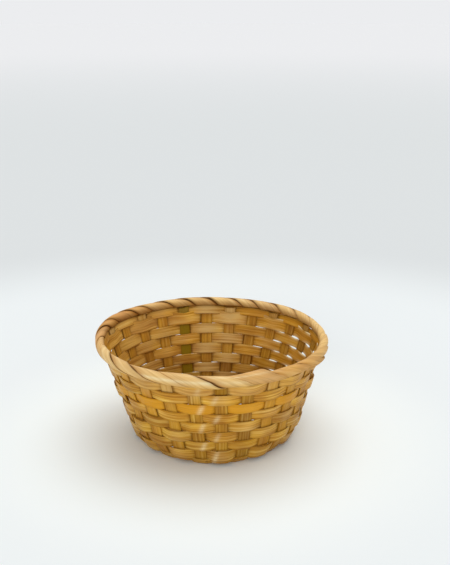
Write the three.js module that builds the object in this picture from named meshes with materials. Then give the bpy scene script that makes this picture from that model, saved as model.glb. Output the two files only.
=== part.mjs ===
// A round basket woven from split bamboo. Strips cross in a square woven base, turn up as the stakes of the
// wall, pass in and out of hoops of weaver, and are folded at the top over a hoop to make a rolled border.
// Millimetres, +Z up. The origin is on the table, under the middle of the base.
import * as THREE from "three";

// Splints
const STAKE_WIDTH = 10.4;
const STAKE_THICKNESS = 0.8;
const WEAVER_WIDTH = 9.2;
const TOP_WEAVER_WIDTH = 3.2;
const FOOT_WEAVER_WIDTH = 4.6;
const WEAVER_THICKNESS = 0.7;
const CLEARANCE = 0.3; // between two splints that lie on each other

// Base
const LENGTHWISE_STRIPS = 7; // these run along X
const CROSSWISE_STRIPS = 6;
const BASE_GAP = 4.4; // between neighbouring strips
const BASE_RADIUS = 63.5; // of the foot of the wall, in the middle of a side
const BASE_SQUARENESS = 3; // exponent of the superellipse round the foot: 2 is a circle
const BEND_STEPS = 4; // of the turn from the base into the wall
const FOOT_WEAVER_FIRST = 12; // the stake behind which the foot's weaver starts and ends
const FOOT_WEAVER_INSIDE = 1.1; // more room between it and the stakes inside their bend than on the wall
const FOOT_WEAVER_OUTSIDE = 0.3; // and outside the bend
const FOOT_WEAVER_GAP = 0.6; // between its two ends, which meet behind a stake

// Wall
const WALL_TOP_RADIUS = 97.8;
const OVERALL_HEIGHT = 95;
const FOOT_BLEND = 9; // height over which the foot's square shape fades away
const ROWS_START = 7; // height at which the first row begins
const ROW_GAP = 0.2; // the least height between two rows of weaver
const SPLICE_STAKES = 3; // a hoop's two ends lie on each other past this many stakes
const SPLICE_STEP = 11; // stakes from one row's splice to the next row's
const SPLICE_TAIL = 3; // from the middle of a stake to the cut end behind it

// Border
const HOOP_WIDTH = 4.4;
const HOOP_HEIGHT = 5;
const BORDER_OVERHANG = 2.8; // how far the hoop's middle stands out from the top of the wall
const BORDER_DROP = 1; // how far the folded ends hang down beside the top of the wall
const FOLD_WIDTH = 11.6; // a strip is wider at its ends, where it is folded
const FOLD_SLOPE = THREE.MathUtils.degToRad(26); // between a folded end and the rim
const FOLD_START = THREE.MathUtils.degToRad(-50); // round the hoop, from straight outwards
const FOLD_STEP = THREE.MathUtils.degToRad(30);
const FOLD_STEPS = 9;
const FOLD_START_SLOPE = THREE.MathUtils.degToRad(42);
const NECK_SLOPE = THREE.MathUtils.degToRad(65); // of a strip just under the border

// What follows from these
const STAKES = 2 * (LENGTHWISE_STRIPS + CROSSWISE_STRIPS);
const STAKE_ANGLE = (2 * Math.PI) / STAKES;
const BASE_PITCH = STAKE_WIDTH + BASE_GAP;
const BASE_SWING = (STAKE_THICKNESS + CLEARANCE) / 2;
const BASE_MIDDLE = BASE_SWING + STAKE_THICKNESS / 2;
const CROSSING_FLAT = STAKE_WIDTH / 2 + CLEARANCE;
const WEAVER_SWING = (STAKE_THICKNESS + WEAVER_THICKNESS) / 2 + CLEARANCE;
const WEAVER_FLAT = STAKE_WIDTH / 2 + 2 * CLEARANCE;
const SPLICE_LAYER = WEAVER_THICKNESS + 1.5 * CLEARANCE;
const FOOT_WEAVER_STEP = Math.floor(BEND_STEPS / 2); // it lies on the bend between this step and the next
const BORDER_RADIUS = WALL_TOP_RADIUS + BORDER_OVERHANG;
const FOLD_PITCH = BORDER_RADIUS * STAKE_ANGLE;
const FOLD_SPAN = FOLD_WIDTH / Math.sin(FOLD_SLOPE);
// A folded end rises this much from one edge to the other, and so lies on its neighbour's edge.
const FOLD_LIFT = ((STAKE_THICKNESS + CLEARANCE) * FOLD_SPAN) / FOLD_PITCH;
const FOLD_WALL = CLEARANCE + STAKE_THICKNESS / 2; // from the hoop to the middle of a folded end
const BORDER_HALF_HEIGHT = HOOP_HEIGHT / 2 + CLEARANCE + STAKE_THICKNESS + FOLD_LIFT;
const BORDER_HEIGHT = OVERALL_HEIGHT - BORDER_HALF_HEIGHT;
const HOOP_SIDES = Math.round((2 * Math.PI) / FOLD_STEP);
const WALL_TOP = BORDER_HEIGHT - BORDER_HALF_HEIGHT + BORDER_DROP;
const ROWS_END = WALL_TOP - TOP_WEAVER_WIDTH - ROW_GAP;
const ROWS = Math.floor((ROWS_END - ROWS_START) / (WEAVER_WIDTH + ROW_GAP));
const ROW_PITCH = (ROWS_END - ROWS_START) / ROWS;

const vector = (x, y, z) => new THREE.Vector3(x, y, z);
const lerp = THREE.MathUtils.lerp;

// The angle of a stake round the basket. Stakes 0 to 6 stand on the +X side, and the rest follow on from them.
const stakeAngle = (stake) => (stake - (LENGTHWISE_STRIPS - 1) / 2) * STAKE_ANGLE;

// The wall's radius: a cone over the base's corners, drawn in at the foot to a superellipse.
function wallRadius(angle, height) {
  const side = Math.abs(Math.cos(angle)) ** BASE_SQUARENESS + Math.abs(Math.sin(angle)) ** BASE_SQUARENESS;
  const foot = BASE_RADIUS / side ** (1 / BASE_SQUARENESS);
  const corner = BASE_RADIUS * 2 ** (1 / 2 - 1 / BASE_SQUARENESS);
  const rise = height - BASE_MIDDLE;
  const cone = lerp(corner, WALL_TOP_RADIUS, rise / (WALL_TOP - BASE_MIDDLE));
  return cone - (corner - foot) * Math.exp(-rise / FOOT_BLEND);
}

// A point of the wall's middle surface. The wall is straight up each row, and its slope changes between rows.
function wallPoint(angle, height) {
  const row = THREE.MathUtils.clamp(Math.floor((height - ROWS_START) / ROW_PITCH), 0, ROWS - 1);
  const lower = ROWS_START + row * ROW_PITCH;
  const share = (height - lower) / ROW_PITCH;
  const radius = lerp(wallRadius(angle, lower), wallRadius(angle, lower + ROW_PITCH), share);
  return vector(radius * Math.cos(angle), radius * Math.sin(angle), height);
}

// Where a stake stands at a height: its middle, and the directions across it, up it and out of the basket.
function stakeFrame(stake, height) {
  const angle = stakeAngle(stake);
  const small = 1e-3;
  const middle = wallPoint(angle, height);
  const across = wallPoint(angle + small, height).sub(wallPoint(angle - small, height)).normalize();
  const up = wallPoint(angle, height + small).sub(wallPoint(angle, height - small)).normalize();
  const out = across.clone().cross(up).normalize();
  return { middle, across, up, out };
}

// A closed solid through a row of loops, each with the same number of points, capped at both ends.
function solidThrough(loops) {
  const count = loops[0].length;
  const positions = loops.flat().flatMap((p) => [p.x, p.y, p.z]);
  const faces = [];
  for (let i = 0; i + 1 < loops.length; i++) {
    for (let k = 0; k < count; k++) {
      const a = i * count + k;
      const b = i * count + ((k + 1) % count);
      faces.push(a, b, b + count, a, b + count, a + count);
    }
  }
  const last = (loops.length - 1) * count;
  for (let k = 1; k < count / 2; k++) {
    const near = k - 1;
    const far = count - k;
    faces.push(near, far, near + 1, near + 1, far, far - 1);
    faces.push(last + near, last + near + 1, last + far, last + near + 1, last + far - 1, last + far);
  }
  const geometry = new THREE.BufferGeometry();
  geometry.setAttribute("position", new THREE.Float32BufferAttribute(positions, 3));
  geometry.setIndex(faces);
  geometry.computeVertexNormals();
  return geometry;
}

// A strip's section: three points on its outer face, from one edge to the other, and three back on its inner one.
function stripSection(middle, across, out, width) {
  const face = (side) =>
    [-1, 0, 1].map((e) =>
      middle
        .clone()
        .addScaledVector(across, (e * width) / 2)
        .addScaledVector(out, (side * STAKE_THICKNESS) / 2),
    );
  return [...face(1), ...face(-1).reverse()];
}

// The same section as seen from the other end of the strip.
const turned = (s) => [s[2], s[1], s[0], s[5], s[4], s[3]];

// A point of the border: an angle round the basket, a turn round the hoop, and a distance from the hoop.
function borderPoint(angle, turn, distance) {
  const radius = BORDER_RADIUS + (HOOP_WIDTH / 2 + distance) * Math.cos(turn);
  const height = BORDER_HEIGHT + (HOOP_HEIGHT / 2 + distance) * Math.sin(turn);
  return vector(radius * Math.cos(angle), radius * Math.sin(angle), height);
}

// A folded end's section along the rim. One edge is lifted, and lies on the next folded end.
function foldSection(angle, turn, span, lift) {
  const face = (side) =>
    [-1, 0, 1].map((e) => {
      const distance = FOLD_WALL + (lift * (1 - e)) / 2 + (side * STAKE_THICKNESS) / 2;
      return borderPoint(angle + (e * span) / 2 / BORDER_RADIUS, turn, distance);
    });
  return [...face(1), ...face(-1).reverse()];
}

// The folded end: it leans over as it leaves the wall, and winds round the hoop to the inside of the basket.
function folds(stake) {
  const angle = stakeAngle(stake);
  const wall = stakeFrame(stake, WALL_TOP);
  const onto = borderPoint(angle, FOLD_START, FOLD_WALL);
  const neck = wall.middle.distanceTo(onto) / 2;
  const width = (slope, share) => lerp(STAKE_WIDTH, FOLD_WIDTH, share) / Math.sin(slope);
  const up = onto.clone().sub(wall.middle).normalize();
  const lean = neck / Math.tan(NECK_SLOPE);
  const middle = wall.middle.clone().lerp(onto, 0.5).addScaledVector(wall.across, -lean / 2);
  const out = wall.across.clone().cross(up).normalize();
  const sections = [stripSection(middle, wall.across, out, width(NECK_SLOPE, 0))];
  const roll = (HOOP_WIDTH + HOOP_HEIGHT) / 4 + FOLD_WALL + FOLD_LIFT / 2;
  let shift = lean + neck / Math.tan(FOLD_START_SLOPE);
  for (let i = 0; i <= FOLD_STEPS; i++) {
    const share = Math.min(1, (i + 1) / 3);
    const slope = lerp(FOLD_START_SLOPE, FOLD_SLOPE, Math.min(1, i / 2));
    const at = angle - shift / BORDER_RADIUS;
    sections.push(foldSection(at, FOLD_START + i * FOLD_STEP, width(slope, share), FOLD_LIFT * share));
    shift += (roll * FOLD_STEP) / Math.tan(slope);
  }
  return sections;
}

// The two sets of strips that cross in the base.
const lengthwise = {
  count: LENGTHWISE_STRIPS,
  crossed: CROSSWISE_STRIPS,
  turn: 0,
  firstStake: 0,
  passesOver: (place, crossing) => (place + CROSSWISE_STRIPS - 1 - crossing) % 2 === 0,
};
const crosswise = {
  count: CROSSWISE_STRIPS,
  crossed: LENGTHWISE_STRIPS,
  turn: Math.PI / 2,
  firstStake: LENGTHWISE_STRIPS,
  passesOver: (place, crossing) => (place + crossing) % 2 === 1,
};
const alongSet = (set) => vector(Math.cos(set.turn), Math.sin(set.turn), 0);
const acrossSet = (set) => vector(-Math.sin(set.turn), Math.cos(set.turn), 0);

// A point over a strip's line across the base.
function basePoint(set, place, x, height) {
  const aside = (place - (set.count - 1) / 2) * BASE_PITCH;
  return alongSet(set).multiplyScalar(x).addScaledVector(acrossSet(set), aside).setZ(height);
}

// The place along a strip of its first crossing, or of the middle of any other.
const crossingAt = (set, crossing) => (crossing - (set.crossed - 1) / 2) * BASE_PITCH;

// A strip's two stakes: the one at its near end, and the one at its far end.
const nearStake = (set, place) => set.firstStake + place;
const farStake = (set, place) => set.firstStake + STAKES / 2 + set.count - 1 - place;

// A stake's bend from the base into the wall, step by step: an arc between the strip's line across the base and the
// first row's slope.
function bend(stake) {
  const set = [lengthwise, crosswise].find((s) => (stake - s.firstStake + STAKES) % (STAKES / 2) < s.count);
  const isNear = stake < STAKES / 2;
  const place = isNear ? stake - set.firstStake : farStake(set, 0) - stake;
  const sign = isNear ? 1 : -1;
  const start = basePoint(set, place, sign * (CROSSING_FLAT - crossingAt(set, 0)), BASE_MIDDLE);
  const first = stakeFrame(stake, ROWS_START + ROW_PITCH / 2);
  const reach = (ROWS_START - BASE_MIDDLE) / first.up.z;
  const foot = wallPoint(stakeAngle(stake), ROWS_START).addScaledVector(first.up, -reach);
  const run = foot.clone().sub(start).normalize();
  const turn = run.angleTo(first.up);
  const radius = reach / Math.tan(turn / 2);
  const rise = first.up.clone().addScaledVector(run, -run.dot(first.up)).normalize();
  const begin = foot.clone().addScaledVector(run, -reach);
  const steps = [];
  for (let i = 0; i <= BEND_STEPS; i++) {
    const a = (turn * i) / BEND_STEPS;
    const middle = begin
      .clone()
      .addScaledVector(run, radius * Math.sin(a))
      .addScaledVector(rise, radius * (1 - Math.cos(a)));
    const up = run.clone().multiplyScalar(Math.cos(a)).addScaledVector(rise, Math.sin(a));
    const hint = acrossSet(set).multiplyScalar(sign).lerp(first.across, i / BEND_STEPS);
    const out = hint.cross(up).normalize();
    steps.push({ middle, across: up.clone().cross(out), up, out });
  }
  return steps;
}

// Where the foot's weaver crosses a stake: in the middle of one step of the bend.
function footFrame(stake) {
  const [below, above] = bend(stake).slice(FOOT_WEAVER_STEP);
  const middle = below.middle.clone().lerp(above.middle, 0.5);
  const up = above.middle.clone().sub(below.middle).normalize();
  const out = below.across.clone().add(above.across).cross(up).normalize();
  return { middle, across: up.clone().cross(out), up, out };
}

// A strip's sections up the bend, up the wall and round the border's hoop.
function arm(stake) {
  const sections = bend(stake).map((f) => stripSection(f.middle, f.across, f.out, STAKE_WIDTH));
  for (let row = 1; row <= ROWS; row++) {
    const f = stakeFrame(stake, ROWS_START + row * ROW_PITCH);
    sections.push(stripSection(f.middle, f.across, f.out, STAKE_WIDTH));
  }
  const top = stakeFrame(stake, WALL_TOP);
  sections.push(stripSection(top.middle, top.across, top.out, STAKE_WIDTH));
  return [...sections, ...folds(stake)];
}

// One strip: from the border on one side, down the wall, across the base and up to the border on the other.
function strip(set, place) {
  const sections = [];
  for (let j = 0; j < set.crossed; j++) {
    const height = BASE_MIDDLE + (set.passesOver(place, j) ? BASE_SWING : -BASE_SWING);
    for (const side of [-CROSSING_FLAT, CROSSING_FLAT]) {
      const middle = basePoint(set, place, crossingAt(set, j) + side, height);
      sections.push(stripSection(middle, acrossSet(set), vector(0, 0, -1), STAKE_WIDTH));
    }
  }
  return solidThrough([
    ...arm(farStake(set, place)).map(turned).reverse(),
    ...sections,
    ...arm(nearStake(set, place)),
  ]);
}

// A weaver's section beside the middle of a stake, and in or out of the wall.
function weaverSection({ frame, beside, offset }, along, width) {
  const middle = frame.middle.clone().addScaledVector(frame.across, beside).addScaledVector(frame.out, offset);
  const out = along.clone().cross(frame.up).normalize();
  const corner = (u, o) =>
    middle
      .clone()
      .addScaledVector(frame.up, (u * width) / 2)
      .addScaledVector(out, (o * WEAVER_THICKNESS) / 2);
  return [corner(-1, 1), corner(-1, -1), corner(1, -1), corner(1, 1)];
}

// One hoop of weaver: outside one stake and inside the next, with its ends lying on each other at the splice.
function weaver(row, height, width) {
  const first = 2 * Math.round((row * SPLICE_STEP) / 2) + (row % 2);
  const last = STAKES + SPLICE_STAKES;
  const stations = [];
  for (let n = 0; n <= last; n++) {
    const outside = n % 2 === 0;
    const under = n <= SPLICE_STAKES && !outside ? SPLICE_LAYER : 0;
    const over = n >= STAKES && outside ? SPLICE_LAYER : 0;
    const offset = (outside ? WEAVER_SWING : -WEAVER_SWING) - under + over;
    const frame = stakeFrame((first + n) % STAKES, height);
    stations.push({ frame, beside: n === 0 ? -SPLICE_TAIL : -WEAVER_FLAT, offset });
    stations.push({ frame, beside: n === last ? SPLICE_TAIL : WEAVER_FLAT, offset });
  }
  return hoopThrough(stations, width);
}

// The foot's weaver. It starts and ends inside the same stake.
function footWeaver() {
  const stations = [];
  for (let n = 0; n <= STAKES; n++) {
    const frame = footFrame((FOOT_WEAVER_FIRST + n) % STAKES);
    const offset = n % 2 === 0 ? -WEAVER_SWING - FOOT_WEAVER_INSIDE : WEAVER_SWING + FOOT_WEAVER_OUTSIDE;
    stations.push({ frame, beside: n === 0 ? FOOT_WEAVER_GAP / 2 : -WEAVER_FLAT, offset });
    stations.push({ frame, beside: n === STAKES ? -FOOT_WEAVER_GAP / 2 : WEAVER_FLAT, offset });
  }
  return hoopThrough(stations, FOOT_WEAVER_WIDTH);
}

// A weaver from station to station.
function hoopThrough(stations, width) {
  const place = ({ frame, beside, offset }) =>
    frame.middle.clone().addScaledVector(frame.across, beside).addScaledVector(frame.out, offset);
  const loops = stations.map((station, i) => {
    const before = place(stations[Math.max(i - 1, 0)]);
    const after = place(stations[Math.min(i + 1, stations.length - 1)]);
    return weaverSection(station, after.sub(before).normalize(), width);
  });
  return solidThrough(loops);
}

// The hoop that the stakes' ends are folded over: a closed ring with a corner under each step of the folds.
function hoop() {
  const profile = [];
  for (let k = 0; k <= HOOP_SIDES; k++) {
    const turn = FOLD_START + (k % HOOP_SIDES) * FOLD_STEP;
    const radius = BORDER_RADIUS + (HOOP_WIDTH / 2) * Math.cos(turn);
    profile.push(new THREE.Vector2(radius, BORDER_HEIGHT + (HOOP_HEIGHT / 2) * Math.sin(turn)));
  }
  return new THREE.LatheGeometry(profile, 2 * STAKES).rotateX(Math.PI / 2);
}

// Materials
const bamboo = (color, roughness) => new THREE.MeshStandardMaterial({ color, roughness, metalness: 0 });
const stakeBamboo = bamboo(0xc79a52, 0.5);
const greenBamboo = bamboo(0x8a8436, 0.45);
const weaverBamboo = bamboo(0xcda25c, 0.45);
const amberBamboo = bamboo(0xc68a2c, 0.45);
const hoopBamboo = bamboo(0xb98d4c, 0.6);

const basket = new THREE.Group();

function add(name, geometry, material) {
  const mesh = new THREE.Mesh(geometry, material);
  mesh.name = name;
  basket.add(mesh);
}

const GREEN_STRIP = 5;
for (let i = 0; i < LENGTHWISE_STRIPS; i++) {
  add(`lengthwise_strip_${i + 1}`, strip(lengthwise, i), i === GREEN_STRIP ? greenBamboo : stakeBamboo);
}
for (let i = 0; i < CROSSWISE_STRIPS; i++) {
  add(`crosswise_strip_${i + 1}`, strip(crosswise, i), stakeBamboo);
}
const AMBER_ROW = 5;
for (let row = 0; row < ROWS; row++) {
  const geometry = weaver(row, ROWS_START + (row + 0.5) * ROW_PITCH, WEAVER_WIDTH);
  add(`weaver_row_${row + 1}`, geometry, row === AMBER_ROW ? amberBamboo : weaverBamboo);
}
add("foot_weaver", footWeaver(), weaverBamboo);
add("top_weaver", weaver(ROWS, WALL_TOP - TOP_WEAVER_WIDTH / 2, TOP_WEAVER_WIDTH), weaverBamboo);
add("border_hoop", hoop(), hoopBamboo);

export default basket;
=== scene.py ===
"""A round basket woven from split bamboo, dressed over its CAD frame, with a plain studio round it.

Strips cross in a square woven base, turn up as the stakes of the wall, pass in and out of rows of weaver,
and are folded slantwise over a hoop to make the rolled border. All lengths are in metres, +Z is up, and the
origin is on the table under the middle of the base.
"""

import math

import bpy
import numpy as np
from mathutils import Matrix, Vector


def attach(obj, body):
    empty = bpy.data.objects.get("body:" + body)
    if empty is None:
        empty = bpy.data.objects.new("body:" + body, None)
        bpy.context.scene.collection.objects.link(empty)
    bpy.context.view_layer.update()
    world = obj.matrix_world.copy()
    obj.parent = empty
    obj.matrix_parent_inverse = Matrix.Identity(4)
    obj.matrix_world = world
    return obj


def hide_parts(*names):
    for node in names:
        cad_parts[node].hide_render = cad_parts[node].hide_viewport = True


bl_info = {
    "name": "Woven bamboo basket",
    "version": (1, 0, 0),
    "blender": (4, 5, 0),
    "location": "View3D > Sidebar > Basket",
    "description": "A round basket of split bamboo with a rolled border, and the studio it stands in",
    "category": "Add Mesh",
}

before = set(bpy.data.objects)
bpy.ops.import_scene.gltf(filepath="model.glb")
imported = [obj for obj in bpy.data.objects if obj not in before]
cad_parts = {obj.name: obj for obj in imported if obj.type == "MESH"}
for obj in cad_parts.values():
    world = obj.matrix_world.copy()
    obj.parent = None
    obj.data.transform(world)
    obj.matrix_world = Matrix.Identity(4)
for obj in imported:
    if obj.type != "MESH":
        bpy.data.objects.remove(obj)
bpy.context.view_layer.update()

MM = 0.001
PHOTO_WIDTH, PHOTO_HEIGHT = 450, 565
# Directions round the basket, in degrees from +X. The camera is in front, and the left is on its left.
FRONT, BACK, LEFT = -47, 133, 223

# How the basket is laid out. These follow the CAD solids, which the pieces stand for.
LENGTHWISE_STRIPS = 7
CROSSWISE_STRIPS = 6
STAKES = 2 * (LENGTHWISE_STRIPS + CROSSWISE_STRIPS)
STAKE_ANGLE = 2 * math.pi / STAKES
ROWS = 8
# The strip with its green skin and the amber row, both counted from 0.
GREEN_STRIP = 5
AMBER_ROW = 5
# Over how many stakes a weaver's ends lie on each other, and how many stakes on the next row's ends are.
SPLICE_STAKES = 3
SPLICE_STEP = 11
# The stakes that show darkest outside, and how dark they are.
DARK_STAKES = {25: 0.86, 0: 0.84, 1: 0.78}
# The stake whose folded end has the deepest seam at its raised edge, and how dark the shadow painted on its
# top under the seam is.
DEEPEST_SEAM = 0
SHADED_TOPS = {DEEPEST_SEAM: 0.65}

# What differs from one folded end to the next, from stake 0 on: how far it lies along the rim from an even
# spacing, in millimetres, how dark the painted shade of the seam at its raised edge is, how pink it is, and
# how strong its painted highlight is.
FOLD_SLIDES = [-3.4, 0.5, 8, 1.5, -8.4, -12.8, -10.7, -5, -1.2, -3.7, -1.4, -0.5, 3]
FOLD_SLIDES += [-2.4, -1.4, -3, -4.9, -4.2, -11, -5.5, -12.7, -10.9, -15, -18.6, -14.6, -7.8]
FOLD_SEAMS = [10, 1, 6, 0, 4, 1, 0, 0, 0, 2, 6, 9, 8, 7, 11, 8, 7, 7, 9, 10, 9, 3, 1, 9, 10, 2]
FOLD_BLUSH = [2, 1, 6, 4, 5, 4, 2, 1, 0, 0, 1, 1, 3, 0, 0, 0, 0, 2, 6, 9, 9, 8, 4, 0, 2, 1]
FOLD_HIGHLIGHTS = [8, 4, 1, 0, 0, 0, 0, 0, 0, 0, 0, 0, 0, 0, 0, 0, 0, 0, 0, 0, 0, 0, 0, 0, 0, 8]
# The fold whose far edge stands up off the border, and the one whose beginning stands out, in millimetres.
FOLD_RAISES = {2: 2.6}
FOLD_FLARES = {5: 1.5}
# The folds whose edges stay rough outside though their seams are worn away inside.
ROUGH_FOLDS = (5, 6, 7)

# How far use has pushed the basket out of shape: the foot between its corners, the wall low down, and the rim
# in two places, each with its direction in degrees.
FOOT_BULGE = 2.8 * MM
BELLY = 1.8 * MM
RIM_PULLS = ((200, 1.8 * MM), (72, 0.8 * MM))

# How many sections are worked out for a folded end, for its neck, and for a stake's bend at the foot.
FOLD_STATIONS = 52
NECK_STATIONS = 6
BEND_STATIONS = 12

# A splint's section, once round: places across it from -1 to 1, and its faces, 1 for the outer one and -1 for
# the inner one. The edges are rounded off by the two points at face 0.
FACE_PLACES = np.array([-0.965, -0.72, -0.36, 0.0, 0.36, 0.72, 0.965])
ACROSS = np.concatenate([FACE_PLACES, [1.0], FACE_PLACES[::-1], [-1.0]])
FACE = np.concatenate([np.ones(len(FACE_PLACES)), [0.0], -np.ones(len(FACE_PLACES)), [0.0]])
OUTER, INNER = FACE > 0, FACE < 0
ROUND = len(ACROSS)
# The values that colour the wood: the wood's own stains, then a painted highlight and painted shade.
STAINS = ("pale", "amber", "silver", "blush", "green", "painted_highlight", "painted_shade")


def linear(hex_colour):
    """A colour written as sRGB hex, turned to linear red, green, blue and alpha."""
    parts = [int(hex_colour[i : i + 2], 16) / 255 for i in (0, 2, 4)]
    return (*(c / 12.92 if c <= 0.04045 else ((c + 0.055) / 1.055) ** 2.4 for c in parts), 1.0)


def length(name, description, default):
    """A size in metres that a user may change."""
    return bpy.props.FloatProperty(
        name=name,
        description=description,
        default=default,
        min=0,
        unit="LENGTH",
        subtype="DISTANCE",
        precision=5,
    )


def angle(name, description, degrees):
    """An angle that a user may change."""
    return bpy.props.FloatProperty(
        name=name, description=description, default=math.radians(degrees), unit="ROTATION", subtype="ANGLE"
    )


def factor(name, description, default):
    """A plain share or strength that a user may change."""
    return bpy.props.FloatProperty(
        name=name, description=description, default=default, min=0, subtype="FACTOR"
    )


def colour(name, description, hex_colour):
    """A colour that a user may change, written as sRGB hex."""
    return bpy.props.FloatVectorProperty(
        name=name, description=description, default=linear(hex_colour), size=4, min=0, max=1, subtype="COLOR"
    )


class SplintSettings(bpy.types.PropertyGroup):
    """Sizes of the splints."""

    stake_width: length("Stake width", "Width of a strip of the base and wall", 10.4 * MM)
    stake_thickness: length("Stake thickness", "Thickness of a strip", 0.8 * MM)
    weaver_width: length("Weaver width", "Width of a row of weaver", 9.9 * MM)
    slits: length("Slits", "How much narrower a weaver is between stakes where the weave is loose", 1.05 * MM)
    top_weaver_width: length("Top weaver width", "Width of the thin weaver under the border", 3.2 * MM)
    foot_weaver_width: length("Foot weaver width", "Width of the thin weaver on the stakes' bend", 7.2 * MM)
    weaver_thickness: length("Weaver thickness", "Thickness of a weaver", 0.7 * MM)
    clearance: length("Clearance", "Air between two splints that lie on each other", 0.3 * MM)
    crown: length("Crown", "How far the middle of a splint stands above its edges", 0.1 * MM)
    unevenness: length("Unevenness", "How far a splint's width wanders", 0.35 * MM)
    step: length("Step", "Distance between a splint's sections", 1.3 * MM)
    seed: bpy.props.IntProperty(
        name="Seed", description="Seed of what differs from splint to splint", default=7
    )


class WallSettings(bpy.types.PropertyGroup):
    """Sizes of the base and wall."""

    base_radius: length("Base radius", "Radius of the foot in the middle of a side", 63.5 * MM)
    base_squareness: bpy.props.FloatProperty(
        name="Base squareness", description="Exponent of the superellipse round the foot", default=3, min=2
    )
    base_gap: length("Base gap", "Gap between two strips of the base", 4.4 * MM)
    top_radius: length("Top radius", "Radius of the wall under the border", 97.8 * MM)
    height: length("Height", "Height of the basket", 95 * MM)
    foot_blend: length("Foot blend", "Height over which the foot's square shape fades", 9 * MM)
    rows_start: length("Rows start", "Height at which the first row begins", 7 * MM)
    row_gap: length("Row gap", "The least height between two rows", 0.2 * MM)
    lean: angle("Lean", "How far the stakes lean round the basket from foot to rim", -2)
    sway: length("Sway", "How far the rim stands out to one side of a true circle", 1.6 * MM)


class BorderSettings(bpy.types.PropertyGroup):
    """Sizes of the rolled border."""

    skirt: length("Skirt", "How far the border hangs down outside", 4.6 * MM)
    hoop_width: length("Hoop width", "Width of the hoop inside the border", 4.4 * MM)
    hoop_height: length("Hoop height", "Height of the hoop inside the border", 5 * MM)
    overhang: length("Overhang", "How far the hoop stands out from the top of the wall", 2.8 * MM)
    drop: length("Drop", "How far the folded ends hang beside the wall", 1 * MM)
    fold_width: length("Fold width", "Width of a strip where it is folded", 10.6 * MM)
    fold_lift: length("Fold lift", "How far one edge of a folded end is lifted onto its neighbour", 1.2 * MM)
    fold_slope: angle("Fold slope", "Slope of a folded end to the rim, outside", 20)
    inner_slope: angle("Inner slope", "Slope of a folded end to the rim, inside", 27)
    top_slope: angle("Top slope", "Slope of a folded end to the rim, on top at the back", 12)
    end_slope: angle("End slope", "Slope of a folded end to the rim, inside at the back", 30)
    start_slope: angle("Start slope", "Slope of a folded end where it meets the hoop", 24)
    fold_start: angle("Fold start", "Where a folded end meets the hoop, from straight outwards", -74)
    fold_turn: angle("Fold turn", "How far a folded end winds round the hoop", 284)
    crown: length("Crown", "How far the middle of a folded end stands above its edges", 0.42 * MM)


class BambooColours(bpy.types.PropertyGroup):
    """Colours of the bamboo."""

    honey: colour("Honey", "Split bamboo of the weavers", "cf952f")
    straw: colour("Straw", "Palest fibres", "e8bd62")
    toffee: colour("Toffee", "Brown fibres of the weavers", "a66d1b")
    russet: colour("Russet", "Stakes, which are older than the weavers", "c68c28")
    walnut: colour("Walnut", "Dark fibres of the stakes", "8a5917")
    # Umber paints the shade deep in the crossings and seams, and darkens the cut edges.
    umber: colour("Umber", "The shade and dust deep in the crossings and seams", "5c3303")
    # Painted shade: the paler brown beside the border's seams.
    brown_shade: colour("Dust", "The dust that lies beside the border's seams", "b8782a")
    cream: colour("Cream", "The border, worn pale by hands", "f8d290")
    # A painted highlight: skin painted near white where light glints on it.
    painted_highlight: colour("Shine", "Skin worn smooth and white", "ffeebe")
    # Amber is the stained row's colour, and also paints the deeper yellow of the shade inside on the right.
    amber: colour("Amber", "The stained weaver", "df9b1e")
    silver: colour("Silver", "Weathered patches", "dfb870")
    blush: colour("Blush", "Pinkish patches of the border", "e09c58")
    green: colour("Green", "Skin left on one strip", "876e00")


class StageSettings(bpy.types.PropertyGroup):
    """The studio and the camera."""

    # Painted light: the floor right beside the basket is painted paler, which lightens the basket's shadow
    # there.
    near_floor: colour("Near floor", "The floor right beside the basket", "f8fefd")
    floor: colour("Floor", "The floor round it", "eef3f4")
    # Painted shade: the floor further off is painted darker, for the dimmer backdrop seen there.
    far_floor: colour("Far floor", "The floor further off", "dde1e2")
    sky: colour("Sky", "The furthest floor, and what is seen above it", "ecedef")
    world: factor("World", "Strength of the light from all round", 0.56)
    overhead: factor("Overhead", "Strength of the broad lamp above", 0.39)
    front: factor("Front", "Strength of the broad lamp beside the camera", 0.2)
    camera_distance: length("Camera distance", "From the camera to the middle of the basket", 870 * MM)
    camera_azimuth: angle("Camera azimuth", "Round the basket, from the -Y side", 43)
    camera_elevation: angle("Camera elevation", "Above the horizon", 23.2)
    focal_pixels: bpy.props.FloatProperty(
        name="Focal length", description="Focal length in pixels of the photograph", default=940, min=1
    )
    centre_x: bpy.props.FloatProperty(
        name="Centre X", description="Where the middle of the basket shows, in pixels", default=212.3
    )
    centre_y: bpy.props.FloatProperty(
        name="Centre Y", description="Where the middle of the basket shows, in pixels", default=381.5
    )


def unit(v):
    """Vectors of length one."""
    return v / np.linalg.norm(v, axis=-1, keepdims=True)


def soften(values, stations):
    """Rows of values smoothed along the splint by a bell curve that is a number of stations wide."""
    reach = max(1, math.ceil(3 * stations))
    bell = np.exp(-0.5 * (np.arange(-reach, reach + 1) / stations) ** 2)
    padded = np.pad(values, [(reach, reach)] + [(0, 0)] * (values.ndim - 1), mode="edge")
    # Past an end the row goes on in a straight line, so that a smoothed end stays where it was.
    steps = np.arange(1, reach + 1).reshape([-1] + [1] * (values.ndim - 1))
    padded[:reach] = values[0] - (values[1] - values[0]) * steps[::-1]
    padded[-reach:] = values[-1] + (values[-1] - values[-2]) * steps
    moved = [padded[i : i + len(values)] * w for i, w in enumerate(bell / bell.sum())]
    return np.sum(moved, axis=0)


def way_along(points):
    """How far each point of a path is from its beginning, along the path."""
    return np.concatenate([[0], np.cumsum(np.linalg.norm(np.diff(points, axis=0), axis=1))])


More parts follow.
